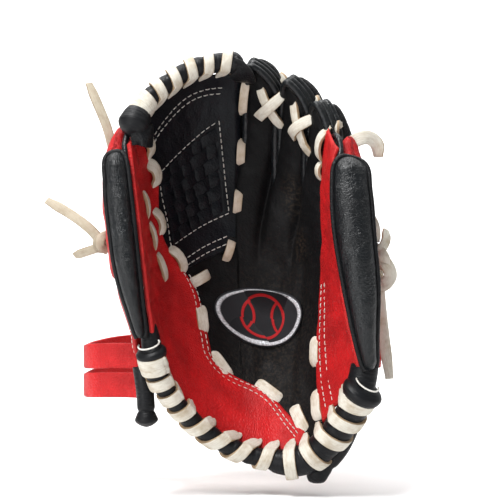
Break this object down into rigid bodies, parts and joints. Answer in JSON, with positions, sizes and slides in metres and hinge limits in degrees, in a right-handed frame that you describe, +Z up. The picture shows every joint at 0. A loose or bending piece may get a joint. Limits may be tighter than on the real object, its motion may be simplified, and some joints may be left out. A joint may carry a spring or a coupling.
{
  "type": "baseball glove",
  "caption": "Youth baseball glove for the left hand: laced leather palm, padded fingers, basket web and hook-and-loop wrist strap.",
  "frame": {"origin": "centre of the flat patch on the back of the wrist band, on its outer face", "axes": "+Z up the fingers, -Y out of the pocket (the catching face), +Y out of the back patch, -X towards the thumb"},
  "size_m": [0.1725, 0.1143, 0.2127],
  "materials": {
    "black_leather": "smooth grained leather, semi-gloss",
    "red_leather": "grained leather, satin",
    "lace_leather": "rawhide lace, matt, off-white",
    "lining_leather": "soft suede lining",
    "felt": "pressed felt padding",
    "hook_fabric": "hook-and-loop tape",
    "badge_print": "pressed transfer badge"
  },
  "bodies": {
    "palm": {"back_panel": "black_leather", "back_patch": "black_leather", "heel_lace_centre": "lace_leather", "heel_panel": "red_leather", "heel_roll_centre": "black_leather", "hook_patch": "hook_fabric", "index_finger_stall": "black_leather", "index_finger_welt": "black_leather", "index_middle_lace": "lace_leather", "middle_finger_stall": "black_leather", "middle_finger_welt": "black_leather", "middle_ring_lace": "lace_leather", "palm_badge": "badge_print", "palm_lining": "lining_leather", "palm_pad": "felt", "palm_shell": "black_leather", "ring_finger_stall": "black_leather", "ring_finger_welt": "black_leather", "strap_tab": "red_leather", "upper_band": "red_leather", "web_index_lace": "lace_leather", "web_panel": "black_leather", "web_roll": "black_leather", "web_roll_lace": "lace_leather", "web_weave": "black_leather"},
    "little_finger": {"heel_lace_little_side": "lace_leather", "heel_roll_little_side": "black_leather", "little_finger_curl": "lace_leather", "little_finger_knot": "lace_leather", "little_finger_panel": "red_leather", "little_finger_piping": "black_leather", "little_finger_side_core": "felt", "little_finger_side_panel": "black_leather", "little_finger_stall": "red_leather", "little_heel_back": "red_leather", "little_heel_pad": "felt", "opening_roll_little_side": "black_leather"},
    "thumb": {"heel_lace_thumb_side": "lace_leather", "heel_roll_thumb_side": "black_leather", "opening_roll_thumb_side": "black_leather", "thumb_heel_back": "red_leather", "thumb_heel_pad": "felt", "thumb_panel": "red_leather", "thumb_piping": "black_leather", "thumb_side_core": "felt", "thumb_side_panel": "black_leather", "thumb_stall": "red_leather", "thumb_tip_tail": "lace_leather", "web_thumb_lace_lower": "lace_leather", "web_thumb_lace_upper": "lace_leather"},
    "little_finger_tail": {"little_finger_tail": "lace_leather"},
    "wrist_strap": {"loop_patch": "hook_fabric", "wrist_strap": "red_leather"},
    "thumb_tails": {"thumb_tail_knot": "lace_leather", "thumb_tail_long": "lace_leather", "thumb_tail_short": "lace_leather"}
  },
  "joints": [
    {"name": "thumb_fold", "type": "hinge", "parent": "palm", "child": "thumb", "pos_m": [-0.04375, -0.086, 0.053], "axis": [-0.0346, 0, 0.9994], "range_deg": [-8, 14]},
    {"name": "little_finger_fold", "type": "hinge", "parent": "palm", "child": "little_finger", "pos_m": [0.0375, -0.086, 0.0405], "axis": [0.0069, 0, -1], "range_deg": [-8, 20]},
    {"name": "wrist_strap_swing", "type": "hinge", "parent": "palm", "child": "wrist_strap", "pos_m": [-0.052, -0.07, -0.0145], "axis": [0, 0, 1], "range_deg": [0, 50]},
    {"name": "thumb_tails_swing", "type": "hinge", "parent": "thumb", "child": "thumb_tails", "pos_m": [-0.069, -0.081, 0.056], "axis": [0, 1, 0], "range_deg": [-20, 20]},
    {"name": "little_finger_tail_swing", "type": "hinge", "parent": "little_finger", "child": "little_finger_tail", "pos_m": [0.067, -0.086, 0.044], "axis": [0, 1, 0], "range_deg": [-30, 0]}
  ]
}
